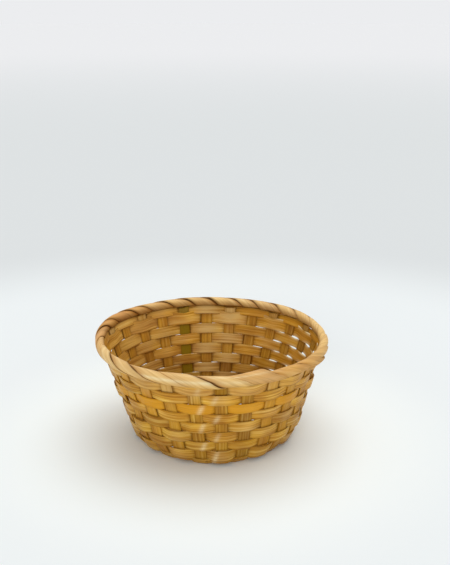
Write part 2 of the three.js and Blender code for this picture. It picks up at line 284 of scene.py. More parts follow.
def walk(points, step, *others):
    """A path's points spaced evenly a step apart, other rows of values carried along, and the way walked."""
    way = way_along(points)
    even = np.linspace(0, way[-1], max(3, round(way[-1] / step)))

    def carried(values):
        return np.stack([np.interp(even, way, column) for column in np.asarray(values, float).T], -1)

    return [carried(v) for v in (points, *others)] + [even]


def waver(way, wavelength, rng):
    """A smooth wandering value between about -1 and 1: three sines of near wavelengths and chance phases."""
    lengths = wavelength * np.array([1, 0.61, 0.37])
    phases = rng.uniform(0, 2 * math.pi, 3)
    return (np.sin(2 * math.pi * way[..., None] / lengths + phases) * [0.55, 0.3, 0.15]).sum(-1)


def turned_from(angles, degrees):
    """How far angles are from a direction given in degrees, between minus and plus half a turn."""
    return (angles - math.radians(degrees) + math.pi) % (2 * math.pi) - math.pi


def bump_at(values, middle, spread):
    """One at a middle value, and fading on both sides as a bell does, to about a third a spread away."""
    return np.exp(-(((values - middle) / spread) ** 2))


def on_side(angles, degrees, spread):
    """One on the side that lies in a direction in degrees, and fading round it over a spread in radians."""
    return bump_at(turned_from(angles, degrees), 0, spread)


def ramp(values, start, reach):
    """None up to a start, and growing evenly to one over a reach."""
    return np.clip((values - start) / reach, 0, 1)


class Basket:
    """The basket's sizes, and the surfaces that its splints lie on."""

    def __init__(self, scene):
        self.splints = splints = scene.basket_splints
        self.wall = wall = scene.basket_wall
        self.border = border = scene.basket_border
        air, stake, weaver = splints.clearance, splints.stake_thickness, splints.weaver_thickness
        self.base_pitch = splints.stake_width + wall.base_gap
        self.base_swing = (stake + air) / 2
        self.base_middle = self.base_swing + stake / 2
        self.crossing_flat = splints.stake_width / 2 + air
        self.weaver_swing = (stake + weaver) / 2 + air
        self.weaver_flat = splints.stake_width / 2 + 2 * air
        self.splice_layer = weaver + 1.5 * air
        self.border_radius = wall.top_radius + border.overhang
        self.fold_pitch = self.border_radius * STAKE_ANGLE
        self.fold_wall = air + stake / 2
        half_height = border.hoop_height / 2 + air + stake + border.fold_lift
        self.border_height = wall.height - half_height
        self.wall_top = self.border_height - half_height + border.drop
        rows_end = self.wall_top - splints.top_weaver_width - wall.row_gap
        self.row_pitch = (rows_end - wall.rows_start) / ROWS

    def stake_angle(self, stake):
        """The angle of a stake round the basket. Stakes 0 to 6 stand on the +X side, and others follow."""
        return (stake - (LENGTHWISE_STRIPS - 1) / 2) * STAKE_ANGLE

    def wall_point(self, angles, heights):
        """A cone over the base's corners, drawn in at the foot to a superellipse by an exponential fade."""
        n = self.wall.base_squareness
        radius = self.wall.base_radius
        foot = radius / (abs(np.cos(angles)) ** n + abs(np.sin(angles)) ** n) ** (1 / n)
        corner = radius * 2 ** (1 / 2 - 1 / n)
        rise = heights - self.base_middle
        cone = corner + (self.wall.top_radius - corner) * rise / (self.wall_top - self.base_middle)
        r = cone - (corner - foot) * np.exp(-rise / self.wall.foot_blend)
        return np.stack(np.broadcast_arrays(r * np.cos(angles), r * np.sin(angles), heights), -1)

    def wall_frame(self, angles, heights):
        """Where the wall's middle surface is, and the directions round it, up it and out of it."""
        small = 1e-5
        middle = self.wall_point(angles, heights)
        across = unit(self.wall_point(angles + small, heights) - self.wall_point(angles - small, heights))
        up = unit(self.wall_point(angles, heights + small) - self.wall_point(angles, heights - small))
        return middle, across, up, unit(np.cross(across, up))

    def border_point(self, angles, turns, distances):
        """A point beside the border's hoop: an ellipse that hangs down outside, carried round the rim."""
        r = self.border_radius + (self.border.hoop_width / 2 + distances) * np.cos(turns)
        z = self.border_height + (self.border.hoop_height / 2 + distances) * np.sin(turns)
        hanging = self.border.skirt * (0.36 + 0.64 * on_side(angles, -48, 0.5))
        z = z - hanging * np.clip(-np.sin(turns), 0, 1) * np.clip(0.5 + 0.5 * np.cos(turns), 0, 1)
        return np.stack(np.broadcast_arrays(r * np.cos(angles), r * np.sin(angles), z), -1)

    def by_hand(self, points):
        """The same lean, sway, bulges and waves for every splint, so that the weave holds together.

        Each point turns round the basket by an angle that grows with its height. It moves out where the foot
        bulges between its corners, where the wall has a belly, and where the rim sways or was pulled. It goes
        up or down with the pull, in slow waves round the basket, and as unevenly as the rows were packed.
        """
        x, y, z = points[..., 0], points[..., 1], points[..., 2]
        share = ramp(z, 0, self.wall.height)
        around = np.arctan2(y, x)
        radius = np.hypot(x, y)
        from_left = around - math.radians(LEFT)
        pulled = sum(size * on_side(around, degrees, 0.35) for degrees, size in RIM_PULLS) * share**3
        # The middle of the base stays where it is.
        outer = ramp(radius, 0, self.wall.base_radius) ** 2
        foot = 0.5 + 0.5 * np.cos(math.pi * ramp(z, 15 * MM, 32 * MM))
        low_down = np.interp(z, np.array([0, 20, 45, 70]) * MM, [0.9, 1.4, 0.7, 0])
        bulge = FOOT_BULGE * (0.5 + 0.5 * np.cos(4 * around)) * foot
        bulge = bulge + BELLY * on_side(around, 30, 0.6) * low_down
        radius = radius + bulge * outer + pulled
        sway = 0.7 * np.cos(from_left) + 0.35 * np.sin(3 * around + 1.1)
        radius = radius + self.wall.sway * share**2 * sway
        # How far the rows at each height are out, in millimetres, at the front and at the back.
        levels = np.array([0, 12, 21, 31, 40, 50, 59, 69, 78, 86, 92, 97]) * MM
        front = np.interp(z, levels, [0, 0.3, 0, 0.4, 1.1, 1.2, 1.0, 1.2, 1.8, 1.0, 0.3, 0.2])
        back = np.interp(z, levels, [0, -0.5, -1.1, -1.5, -2.0, -2.4, -2.1, -2.2, -2.6, -0.6, 1.2, 1.4])
        weight = 0.5 + 0.5 * np.cos(around - math.radians(FRONT))
        rise = front * weight + back * (1 - weight)
        waves = share**2 * (0.8 * np.cos(from_left) + 0.3 * np.sin(5 * around))
        rise = (rise + waves) * MM + pulled
        turned = around + self.wall.lean * share
        return np.stack([radius * np.cos(turned), radius * np.sin(turned), z + rise], -1)


def skin(name, sections, values, closed=False):
    """A closed mesh through rows of sections, with named values at its points.

    The sections are a grid of points: a row for each station and a column for each place round the section.
    Faces join neighbours in the grid. Open sections get a cap at both ends, and closed ones join up.
    """
    stations, places = sections.shape[:2]
    row = np.arange(stations if closed else stations - 1)[:, None] * places
    next_row = (row + places) % (stations * places)
    k = np.arange(places)[None]
    after = (k + 1) % places
    sides = np.stack([row + k, row + after, next_row + after, next_row + k], -1).reshape(-1, 4)
    faces = sides.tolist()
    if not closed:
        # A cap is a ladder of faces between the outer and inner face, with a triangle at each edge.
        half = places // 2 - 1
        last = (stations - 1) * places
        for i in range(half - 1):
            near, far = i, 2 * half - i
            faces.append([near, far, far - 1, near + 1])
            faces.append([last + near, last + near + 1, last + far - 1, last + far])
        faces.append([half - 1, half + 1, half])
        faces.append([last + half - 1, last + half, last + half + 1])
        faces.append([0, places - 1, 2 * half])
        faces.append([last, last + 2 * half, last + places - 1])
    mesh = bpy.data.meshes.new(name)
    mesh.from_pydata(sections.reshape(-1, 3), [], faces)
    smooth = np.arange(len(faces)) < len(sides)
    mesh.polygons.foreach_set("use_smooth", smooth)
    for key, value in values.items():
        value = np.asarray(value, np.float32)
        kind, field = ("FLOAT_VECTOR", "vector") if value.ndim == 3 else ("FLOAT", "value")
        attribute = mesh.attributes.new(key, kind, "POINT")
        attribute.data.foreach_set(field, np.ascontiguousarray(value).ravel())
    mesh.validate()
    mesh.update()
    piece = bpy.data.objects.new(name, mesh)
    bpy.context.scene.collection.objects.link(piece)
    return piece


def splint_sections(middle, across_hint, width, thickness, crown):
    """A splint's section carried along a path.

    Each section is square to the path. Its points are the path's point, moved across by a share of half the
    width and out by a share of half the thickness, with a crown that falls off to the edges as a parabola.
    """
    along = unit(np.gradient(middle, axis=0))
    out = unit(np.cross(across_hint, along))
    across = np.cross(along, out)
    sideways = ACROSS * width[:, None] / 2
    proud = FACE * thickness / 2 + crown * (1 - ACROSS**2) - crown / 2
    return middle[:, None] + across[:, None] * sideways[..., None] + out[:, None] * proud[..., None]


def blank_values(way, width, offset):
    """The values that every splint's material reads, with nothing special yet.

    Fibre is the place along the splint and across it, and a number that differs from splint to splint. Seam
    is the distance from the edge of the splint that lies on this one.
    """
    shape = (len(way), ROUND)
    along = np.broadcast_to(way[:, None] + offset[0], shape)
    across = ACROSS * width[:, None] / 2
    layer = np.full(shape, offset[1]) + 0.5 * FACE
    return {
        "fibre": np.stack([along, across, layer], -1),
        "rim": np.ones(shape) * abs(ACROSS) ** 6,
        "seam": np.full(shape, 20 * MM),
        "tone": np.ones(shape),
        "streaked": np.ones(shape),
        **{key: np.zeros(shape) for key in STAINS},
    }


def tone_with_painted_shade(sections, basket):
    """How bright the wood is for its place, as painted shade: darker low down, inside and away from the
    front.
    """
    share = ramp(sections[..., 2], 0, basket.wall.height)
    outside = np.interp(share, [0, 0.12, 0.5, 0.8, 0.9, 1], [0.76, 0.86, 1.0, 1.1, 1.16, 1.0])
    inside = np.interp(share, [0, 0.12, 0.45, 0.8, 1], [0.6, 0.72, 0.92, 1.04, 1.0])
    directions = np.arctan2(sections[..., 1], sections[..., 0])
    outside = outside * (1 - 0.13 * (1 - on_side(directions, FRONT, 0.9)))
    # Inside on the right the shade is painted deeper.
    inside = inside * (1 - 0.27 * on_side(directions, 55, 0.7))
    return np.where(INNER, inside, outside)


def fold_slopes(border, direction, turns):
    """The slope of a folded end to the rim, as it turns round the hoop.

    At the back the ends run along the top of the rim before they turn down into the basket.
    """
    start = border.fold_start
    begun = start + math.radians(30)
    first, slant, top = border.start_slope, border.fold_slope, border.top_slope
    slopes = [first, slant, slant, border.inner_slope]
    slope = np.interp(turns, [start, begun, math.radians(50), math.radians(120)], slopes)
    slopes = [first, slant, slant, top, top, border.end_slope]
    swept = np.interp(turns, [start, begun, *np.radians([45, 62, 84, 104])], slopes)
    return slope + (swept - slope) * on_side(direction, BACK, 1)


def neck(basket, direction, sections):
    """The sections between the top of the wall and the first sections of a folded end.

    Each place of the section follows a cubic curve, which leaves in the wall's direction and arrives in the
    direction of the fold.
    """
    splints = basket.splints
    middle, across, up, out = basket.wall_frame(np.array(direction), np.array(basket.wall_top))
    below = (
        middle
        + across * (ACROSS * splints.stake_width / 2)[:, None]
        + out * (FACE * splints.stake_thickness / 2)[:, None]
    )
    first = unit(sections[1] - sections[0])
    reach = np.linalg.norm(sections[0] - below, axis=-1, keepdims=True)
    t = np.linspace(0, 1, NECK_STATIONS + 2)[1:-1, None, None]
    return (
        (2 * t**3 - 3 * t**2 + 1) * below
        + (t**3 - 2 * t**2 + t) * up * reach
        + (3 * t**2 - 2 * t**3) * sections[0]
        + (t**3 - t**2) * first * reach
    )


def after_neck(value, values):
    """Values along a folded end, with one value before them that holds all along its neck."""
    return np.concatenate([np.full((NECK_STATIONS, *values.shape[1:]), value), values])


def folded_end(basket, stake, rng):
    """A stake's end from the top of the wall round the border's hoop, as sections and as values.

    The roll turns evenly round the hoop while it slides back along the rim, by the roll's step over the
    tangent of its slope. Its far edge is lifted, so that it lies on its neighbour.
    """
    border, splints = basket.border, basket.splints
    direction = basket.stake_angle(stake)
    start = border.fold_start
    # At the back the ends stop short inside.
    cut_off = math.radians(18) * on_side(direction, BACK, 1.1)
    turns = start + np.linspace(0, border.fold_turn - cut_off, FOLD_STATIONS)
    turned = turns - start
    slope = fold_slopes(border, direction, turns)
    roll = (border.hoop_width + border.hoop_height) / 4 + basket.fold_wall + border.fold_lift / 2
    steps = np.diff(turned, prepend=0) * roll / np.tan(slope)
    # The neck leans little where it leaves the wall, and as much as the fold does where it meets the hoop.
    onto = basket.border_point(direction, start, basket.fold_wall)
    neck_length = np.linalg.norm(onto - basket.wall_point(np.array(direction), np.array(basket.wall_top)))
    shift = neck_length * 0.5 / math.tan(math.radians(65)) + neck_length * 0.5 / math.tan(border.start_slope)
    # At most 5 mm of the slide lies at the wall, and the rest comes in while the end winds up the outside.
    slide = FOLD_SLIDES[stake] * MM
    at_start = np.clip(slide, -5 * MM, 5 * MM)
    wound_up = ramp(turned, 0, math.radians(54))
    shift = shift + np.cumsum(steps) - at_start - (slide - at_start) * wound_up
    # Where it meets the hoop the end has three quarters of its width and lift, and all of it soon after.
    share = ramp(turned, math.radians(-60), math.radians(80))
    # The end before lies on this one's near edge, so this one is wide enough to reach under it.
    gap = basket.fold_pitch + (FOLD_SLIDES[stake] - FOLD_SLIDES[stake - 1]) * MM
    evenly = (splints.stake_width + (border.fold_width - splints.stake_width) * share) / np.sin(slope)
    span = np.maximum(evenly, (gap + 2 * MM) * share)
    width = span * np.sin(slope)
    far_edge = direction - (shift - evenly[0] / 2) / basket.border_radius
    # Where the seam is worn away the lifted edge is thin and lies low.
    worn_edge = np.full(len(turns), 1 - min(1, FOLD_SEAMS[stake] / 8))
    if stake in ROUGH_FOLDS:
        worn_edge = worn_edge * np.interp(turns, np.radians([0, 50]), [0.1, 1])
    lift = border.fold_lift * share * (1 - 0.42 * worn_edge)
    crown = border.crown * share * rng.uniform(0.5, 1.4)
    raised = FOLD_RAISES.get(stake, 0) * MM * bump_at(turns, math.radians(95), math.radians(50))
    flared = FOLD_FLARES.get(stake, 0) * MM * bump_at(turns, math.radians(-45), math.radians(20))
    thickness = splints.stake_thickness * (1 - 0.7 * (worn_edge * share)[:, None] * (1 + ACROSS) / 2)
    distance = (
        basket.fold_wall
        + lift[:, None] * (1 + ACROSS) / 2
        + FACE * thickness / 2
        + crown[:, None] * (1 - ACROSS**2)
        + raised[:, None] * np.clip(0.4 + 0.8 * ACROSS, 0, 1.2)
        + flared[:, None]
    )
    directions = far_edge[:, None] - (1 - ACROSS) * span[:, None] / 2 / basket.border_radius
    sections = basket.border_point(directions, turns[:, None], distance)
    sections = np.concatenate([neck(basket, direction, sections), sections])

    widths = after_neck(splints.stake_width, width)
    slopes = np.concatenate([np.linspace(math.pi / 2, border.start_slope, NECK_STATIONS), slope])
    values = blank_values(way_along(sections.mean(1)), widths, (0, 0))
    values["fibre"][..., 0] -= ACROSS * (widths / np.tan(slopes))[:, None] / 2
    share = after_neck(0, share)[:, None]
    turn = np.degrees(after_neck(start, turns))[:, None]
    in_front = after_neck(0, on_side(directions, -38, 0.35))
    wear_and_highlight_fold(values, stake, direction, share, turn, in_front, rng)
    values["rim"] *= 1 - 0.8 * after_neck(0, worn_edge)[:, None] * share
    hidden = 1 - 2 * gap / (widths / np.sin(slopes))
    to_edge = (ACROSS - hidden[:, None]) * (widths / 2)[:, None]
    shade_seams(values, stake, direction, share, turn, to_edge)
    return sections, values


def wear_and_highlight_fold(values, stake, direction, share, turn, in_front, rng):
    """Adds to a folded end's values how pale and pink it is and its painted highlights. Turn is in degrees
    round the hoop.
    """
    # The border is palest on its top and its outside, and less pale round its underside.
    worn = np.interp(turn, [-50, -20, 15, 110, 165, 208], [0.45, 0.8, 1, 1, 0.62, 0.35])
    values["pale"] += share * worn * rng.uniform(0.85, 1.0) * (1 - 0.06 * FOLD_BLUSH[stake])
    values["blush"] += share * worn * FOLD_BLUSH[stake] / 10
    values["painted_highlight"] += share * bump_at(turn, -2, 14) * FOLD_HIGHLIGHTS[stake] / 10
    # A highlight is painted along the ridge of the roll's top in front, and a faint one over all of it
    # on the left and behind.
    values["painted_highlight"] += share * in_front * (bump_at(turn, 62, 9) * 0.7 + worn * 0.15)
    values["painted_highlight"] += share * worn * 0.18 * on_side(direction, -80, 0.7)
    values["painted_highlight"] += share * worn * 0.3 * on_side(direction, 125, 0.4)
    values["streaked"] *= 0.75
    # On the right it is less worn and a little darker.
    values["tone"] *= rng.uniform(0.95, 1.04) * (1 - 0.1 * on_side(direction, 12, 0.5))
    values["pale"] *= 1 - 0.45 * on_side(direction, 18, 0.5)


def shade_seams(values, stake, direction, share, turn, to_edge):
    """Adds painted shade: the dark seam under the neighbour's raised edge, and shade on this end's own raised
    edge.

    To_edge is how far each point lies from the neighbour's edge, and turn is in degrees round the hoop.
    """
    over = stake - 1
    behind = on_side(direction, 150, 1.1)
    beside = np.maximum(to_edge / (FOLD_SEAMS[over] / 10 + 0.1), 0)
    # Where the seam is worn away no shade is painted in it.
    beside = beside + 3.2 * MM * (1 - min(1, FOLD_SEAMS[over] / 2))
    # Outside it fades out downwards, but for the deepest seam.
    beside = beside + 1.7 * MM * ramp(-turn, -32, 60) * (over != DEEPEST_SEAM)
    spread = np.interp(turn, [-20, 40, 72, 105, 140, 200], [0.9, 1.3, 2.0, 1.5, 1.1, 0.8])
    spread = spread + behind * np.interp(turn, [40, 60, 72, 105, 140], [0, 1.6, 1.6, 1.2, 0.2])
    values["seam"] = np.where(share > 0.5, beside / spread, values["seam"])
    # Shade is painted on the raised edge too.
    below = 0.2 if stake == DEEPEST_SEAM else 0
    edge_shade = (FOLD_SEAMS[stake] / 10) ** 2 * np.interp(turn, [-20, 40, 110, 170], [below, 0.7, 0.7, 0.2])
    values["painted_shade"] += share * edge_shade * (0.6 + 0.5 * behind) * ramp(ACROSS, 0.72, 0.245)
    # Inside, shade is painted on the foot of the roll.
    values["painted_shade"] += share * np.interp(turn, [140, 170, 205], [0, 0.25, 0.65])


def strip_path(basket, index, count, crossed, turn, stakes, passes_over):
    """A strip's path from the top of the wall on its far side to the top on its near side.

    It joins flats at the crossings of the base, above those that passes_over names and below the rest, and is
    smoothed. Its points come with the directions across the strip, and the way along it.
    """
    wall = basket.wall
    along = np.array([math.cos(turn), math.sin(turn), 0.0])
    across = np.array([-along[1], along[0], 0.0])
    aside = across * (index - (count - 1) / 2) * basket.base_pitch
    reach = basket.crossing_flat + (crossed - 1) / 2 * basket.base_pitch

    def base_point(x, z):
        return along * x + aside + np.array([0, 0, z])

    def arm(stake, start, across_here):
        """The bend from the base's line into the wall's slope, an arc, and then the wall up to its top."""
        direction = np.array(basket.stake_angle(stake))
        end, wall_across, up, _ = basket.wall_frame(direction, np.array(wall.rows_start))
        tangent = (wall.rows_start - basket.base_middle) / up[2]
        foot = end - up * tangent
        run = unit(foot - start)
        bent = math.acos(float(run @ up))
        radius = tangent / math.tan(bent / 2)
        rise = unit(up - run * (run @ up))
        a = np.linspace(0, bent, BEND_STATIONS)[:, None]
        bend = foot - run * tangent + run * radius * np.sin(a) + rise * radius * (1 - np.cos(a))
        heights = np.append(np.arange(wall.rows_start + MM, basket.wall_top, MM), basket.wall_top)
        points, hints, _, _ = basket.wall_frame(np.full(len(heights), direction), heights)
        mix = np.linspace(0, 1, BEND_STATIONS)[:, None]
        hints = np.concatenate([across_here * (1 - mix) + wall_across * mix, hints])
        return np.concatenate([bend, points]), hints

    crossings = (np.arange(crossed) - (crossed - 1) / 2) * basket.base_pitch
    swings = [basket.base_swing if passes_over(index, j) else -basket.base_swing for j in range(crossed)]
    base = [
        base_point(x + side * basket.crossing_flat, basket.base_middle + swing)
        for x, swing in zip(crossings, swings)
        for side in (-1, 1)
    ]
    far, far_hints = arm(stakes[0], base_point(-reach, basket.base_middle), -across)
    near, near_hints = arm(stakes[1], base_point(reach, basket.base_middle), across)
    points = np.concatenate([far[::-1], base, near])
    hints = np.concatenate([-far_hints[::-1], np.tile(across, (len(base), 1)), near_hints])
    points, hints, way = walk(points, basket.splints.step, hints)
    return soften(points, 1.2), soften(hints, 3), way


def wear_and_shade_stakes(values, basket, sections, stakes, way, rng):
    """Adds to a strip's values how dark and pale its two stakes are, and the shade painted on them."""
    height = sections[..., 2]
    in_front = on_side(np.arctan2(sections[..., 1], sections[..., 0]), FRONT, 0.9)
    near_top = ramp(height, 64 * MM, 10 * MM)
    far_half = way[:, None] < way[-1] / 2
    for stake, half in zip(stakes, (far_half, ~far_half)):
        dark = DARK_STAKES.get(stake % STAKES)
        values["tone"] *= np.where(half & OUTER, dark or rng.uniform(0.98, 1.08), 1)
        values["streaked"] *= np.where(half & OUTER, 0.85 if dark else 0.42, 0.75)
        # In front the top of the stakes is rubbed as pale as the weavers, but for the two darkest.
        pale_wear_and_highlight = 0 if (dark or 1) < 0.85 else rng.uniform(0.3, 0.8)
        values["silver"] += half * OUTER * in_front * near_top * pale_wear_and_highlight
        # Painted shadow on the top of the stake under the deepest seam.
        values["painted_shade"] += half * OUTER * in_front * near_top * SHADED_TOPS.get(stake % STAKES, 0)
    # The last short bit inside, under the border, is pale.
    values["silver"] += ~OUTER * ramp(height - basket.wall_top, -5 * MM, 2 * MM) * rng.uniform(0.2, 1.0)
    # Shade is painted along the edges of the rows that cross the stake.
    rows = (height - basket.wall.rows_start) / basket.row_pitch
    beside = abs(rows - np.round(rows)) * basket.row_pitch
    crossed_here = (rows > -0.3) & (rows < ROWS + 0.3)
    shade_share = rng.uniform(0.1, 0.85, ROWS + 2)[np.clip(np.round(rows), 0, ROWS + 1).astype(int)]
    values["painted_shade"] += crossed_here * bump_at(beside, 0, 0.9 * MM) * shade_share


def strip(basket, name, index, count, crossed, turn, first_stake, passes_over, green=False):
    """One strip: from the border on one side, down the wall, across the base and up to the border again.

    Count strips lie side by side, from index 0 on, and cross as many others as crossed says.
    """
    splints = basket.splints
    rng = np.random.default_rng([splints.seed, first_stake, index])
    stakes = first_stake + STAKES // 2 + count - 1 - index, first_stake + index
    points, hints, way = strip_path(basket, index, count, crossed, turn, stakes, passes_over)
    width = splints.stake_width + splints.unevenness * waver(way, 90 * MM, rng)
    sections = splint_sections(points, hints, width, splints.stake_thickness, splints.crown * 0.5)
    offset = rng.uniform(0, 3), rng.uniform(0, 40)
    values = blank_values(way, width, offset)
    values["tone"] *= tone_with_painted_shade(sections, basket) * rng.uniform(0.94, 1.06)
    wear_and_shade_stakes(values, basket, sections, stakes, way, rng)

    near_end, near_values = folded_end(basket, stakes[1], rng)
    far_end, far_values = folded_end(basket, stakes[0], rng)
    near_values["fibre"] += [way[-1] + offset[0], 0, offset[1]]
    # The far end is seen from the other end of the strip, so its sections run the other way round.
    edge = len(FACE_PLACES)
    mirror = [*range(edge)][::-1] + [ROUND - 1] + [*range(edge + 1, ROUND - 1)][::-1] + [edge]
    far_end = far_end[::-1][:, mirror]
    far_values = {key: value[::-1][:, mirror] for key, value in far_values.items()}
    far_values["fibre"] = far_values["fibre"] * [-1, -1, 1] + [offset[0], 0, offset[1]]
    sections = np.concatenate([far_end, sections, near_end])
    values = {key: np.concatenate([far_values[key], values[key], near_values[key]]) for key in values}
    if green:
        # The skin is greenest at the far end, and fades out towards the near one.
        share = np.linspace(1, 0, len(sections))[:, None]
        paler_top = ramp(sections[..., 2], 78 * MM, 8 * MM)
        values["green"] += np.clip(1.35 * share, 0, 1) * INNER * (1 - 0.15 * paler_top)
    return skin(name, basket.by_hand(sections), values)


def weaver_path(basket, first, height):
    """A weaver's path round the wall from its first stake on, with the wall's upward directions and the way.

    It joins flats beside the stakes' outer and inner faces, and is smoothed so that it swings between them.
    """
    n = np.arange(STAKES + SPLICE_STAKES + 1)
    outside = n % 2 == 0
    under = np.where((n <= SPLICE_STAKES) & ~outside, basket.splice_layer, 0)
    over = np.where((n >= STAKES) & outside, basket.splice_layer, 0)
    offset = np.where(outside, basket.weaver_swing, -basket.weaver_swing) - under + over
    middle, across, up, out = basket.wall_frame(basket.stake_angle(first + n), np.full(len(n), height))
    flats = np.tile([-basket.weaver_flat, basket.weaver_flat], (len(n), 1))
    # Its ends reach only 3 mm past the middle of a stake.
    flats[0, 0], flats[-1, 1] = -3 * MM, 3 * MM
    points = middle[:, None] + across[:, None] * flats[..., None] + out[:, None] * offset[:, None, None]
    points, ups, way = walk(points.reshape(-1, 3), basket.splints.step, np.repeat(up, 2, 0))
    return soften(points, 2.0), soften(ups, 3), way


def weaver(basket, name, row, height, width):
    """A hoop of weaver: outside one stake and inside the next, with its ends on each other at the splice.

    The thin weaver above the rows counts as one row more.
    """
    splints = basket.splints
    thin = row == ROWS
    rng = np.random.default_rng([splints.seed, 50, row])
    first = 2 * math.floor(row * SPLICE_STEP / 2 + 0.5) + row % 2
    points, ups, way = weaver_path(basket, first, height)
    angles = np.unwrap(np.arctan2(points[:, 1], points[:, 0]))
    angles += 2 * math.pi * round((basket.stake_angle(first) - angles[0]) / (2 * math.pi))
    wander = splints.unevenness * (0.7 * waver(way, 120 * MM, rng) + 0.5 * waver(way, 41 * MM, rng))
    stakes = (angles - basket.stake_angle(0)) / STAKE_ANGLE
    between = 0.5 - 0.5 * np.cos(2 * math.pi * stakes)
    if thin:
        # The thin weaver is hidden outside, under the border, and widens where it passes inside.
        inside = np.clip((1 - abs((angles - angles[0]) / STAKE_ANGLE % 2 - 1)) * 3.6 - 0.8, 0, 1)
        widths = width + wander * 0.3 + 1.4 * MM + 2 * MM * inside
        points = points + ups * (0.2 * MM * inside)[:, None]
    else:
        # The weave is looser on one side, where light comes through, and a little so lower down at the back.
        loose = 1.25 * on_side(angles, 58, 0.62)
        loose += (0.25 if row < 4 else 0) * on_side(angles, 160, 0.7)
        tight = 0.25 * MM * (1 + on_side(angles, FRONT, 1))
        widths = width + tight + wander - (splints.slits + tight) * loose * between
        if row == 0:
            # The lowest row is pushed down onto the foot.
            widths, points = widths + 3.6 * MM, points - ups * 1.8 * MM
        elif row == ROWS - 1:
            # The highest one reaches up under the thin weaver beside the stakes.
            widths, points = widths + 1.6 * MM * between, points + ups * (0.8 * MM * between)[:, None]
        points = points + ups * (0.25 * MM * waver(way, 53 * MM, rng))[:, None]
    sections = splint_sections(points, -ups, widths, splints.weaver_thickness, splints.crown)
    values = blank_values(way, widths, (rng.uniform(0, 3), rng.uniform(0, 40)))
    values["tone"] *= tone_with_painted_shade(sections, basket) * rng.uniform(0.96, 1.05)
    off = (stakes - np.round(stakes)) * STAKE_ANGLE * np.hypot(points[:, 0], points[:, 1])
    # Painted shade beside the stakes, stronger on the sides of the basket than in front.
    shade_share = bump_at(abs(off), splints.stake_width / 2 + 0.3 * MM, 1.4 * MM)
    shade_tone_and_highlight_floats(values, first, stakes, off, shade_share * (1.35 - 0.5 * on_side(angles, FRONT, 0.5)), rng)
    if thin:
        # Shade from the border is painted along its top edge.
        values["painted_shade"] += ramp(-ACROSS, 0.3, 0.6) * 0.6
        values["tone"] *= 1.06
    else:
        # Painted light: the edges beside a slit are painted pale, as if lit by light through it,
        # most on the inner face.
        lit = np.clip(1.5 * (loose * between)[:, None] * abs(ACROSS) ** 5, 0, 1)
        values["painted_highlight"] += lit * np.where(OUTER, 0.3, 1.4)
        values["rim"] *= 1 - lit
    wear_shade_and_highlight_weaver(values, row, angles[:, None], rng)
    return skin(name, basket.by_hand(sections), values)


def shade_tone_and_highlight_floats(values, first, stakes, off, shade_share, rng):
    """Adds to a weaver's values the painted shade of its crossings, each float's own tone, and painted
    highlights.

    Stakes is the place round the basket counted in stakes, and off how far it is from the nearest of them.
    """
    # Shade is painted where the weaver goes behind a stake, more on one side than on the other.
    nearest = np.round(stakes)
    behind = np.where((nearest - first) % 2 == 0, -1, 1)[:, None] * FACE > 0
    uneven = (rng.uniform(0.3, 1.05, (2, STAKES)) ** 2)[(off > 0).astype(int), nearest.astype(int) % STAKES]
    values["painted_shade"] += behind * (uneven * shade_share)[:, None]
    at_stake = np.arange(STAKES + 1)
    tones = rng.uniform(0.9, 1.1, (2, STAKES))[:, at_stake % STAKES]
    outer_tone, inner_tone = (np.interp(stakes % STAKES, at_stake, face)[:, None] for face in tones)
    values["tone"] *= np.where(OUTER, outer_tone, inner_tone)
    # Some are painted paler where they stand out over a stake, as a painted highlight.
    pale_wear_and_highlight = rng.uniform(-0.1, 0.2, STAKES)[nearest.astype(int) % STAKES]
    pale_wear_and_highlight = bump_at(off, rng.uniform(-2, 2) * MM, 7 * MM) * np.clip(pale_wear_and_highlight, 0, 1)
    values["pale"] += ~behind * pale_wear_and_highlight[:, None]


def wear_shade_and_highlight_weaver(values, row, angles, rng):
    """Adds to a weaver's values what differs from side to side of the basket: weathering, stains, painted
    shade and a painted highlight.
    """
    # Outside, the highest row is weathered, and the amber row and the next are browner in front on the left.
    if row == ROWS - 1:
        values["silver"] += OUTER * on_side(angles, -95, 1.7) * 0.62
    elif row in (AMBER_ROW, AMBER_ROW + 1):
        values["tone"] *= 1 - 0.16 * OUTER * on_side(angles, -100, 0.5)
    # Inside, the weave is painted a deeper yellow on one side, for the shade there, and towards the top more
    # weathered on the other.
    values["amber"] += 0.5 * INNER * on_side(angles, 60, 0.75)
    values["silver"] += 0.06 * row * INNER * on_side(angles, 188, 0.55)
    if row == AMBER_ROW:
        values["amber"] += np.clip(on_side(angles, -52, 1.25) * 1.2, 0, 1)
    # Inside at the back a short stretch is weathered, and in front a highlight is painted on the bend over
    # a corner.
    weathered_at, weathering, highlight_at = (138.5, 1.0, -45) if row % 2 == 0 else (124.5, 0.75, -52)
    weathered = on_side(angles, weathered_at, 0.13) * weathering
    values["silver"] += weathered * INNER
    values["streaked"] += weathered
    # The painted highlight wanders from row to row and slants across the weaver.
    slanted = turned_from(angles, highlight_at + rng.uniform(-1, 1)) + 0.025 * ACROSS
    worn = bump_at(slanted, 0, 0.022) * rng.uniform(0.35, 0.95)
    values["painted_highlight"] += worn * OUTER * (1 - 0.6 * ACROSS**2)


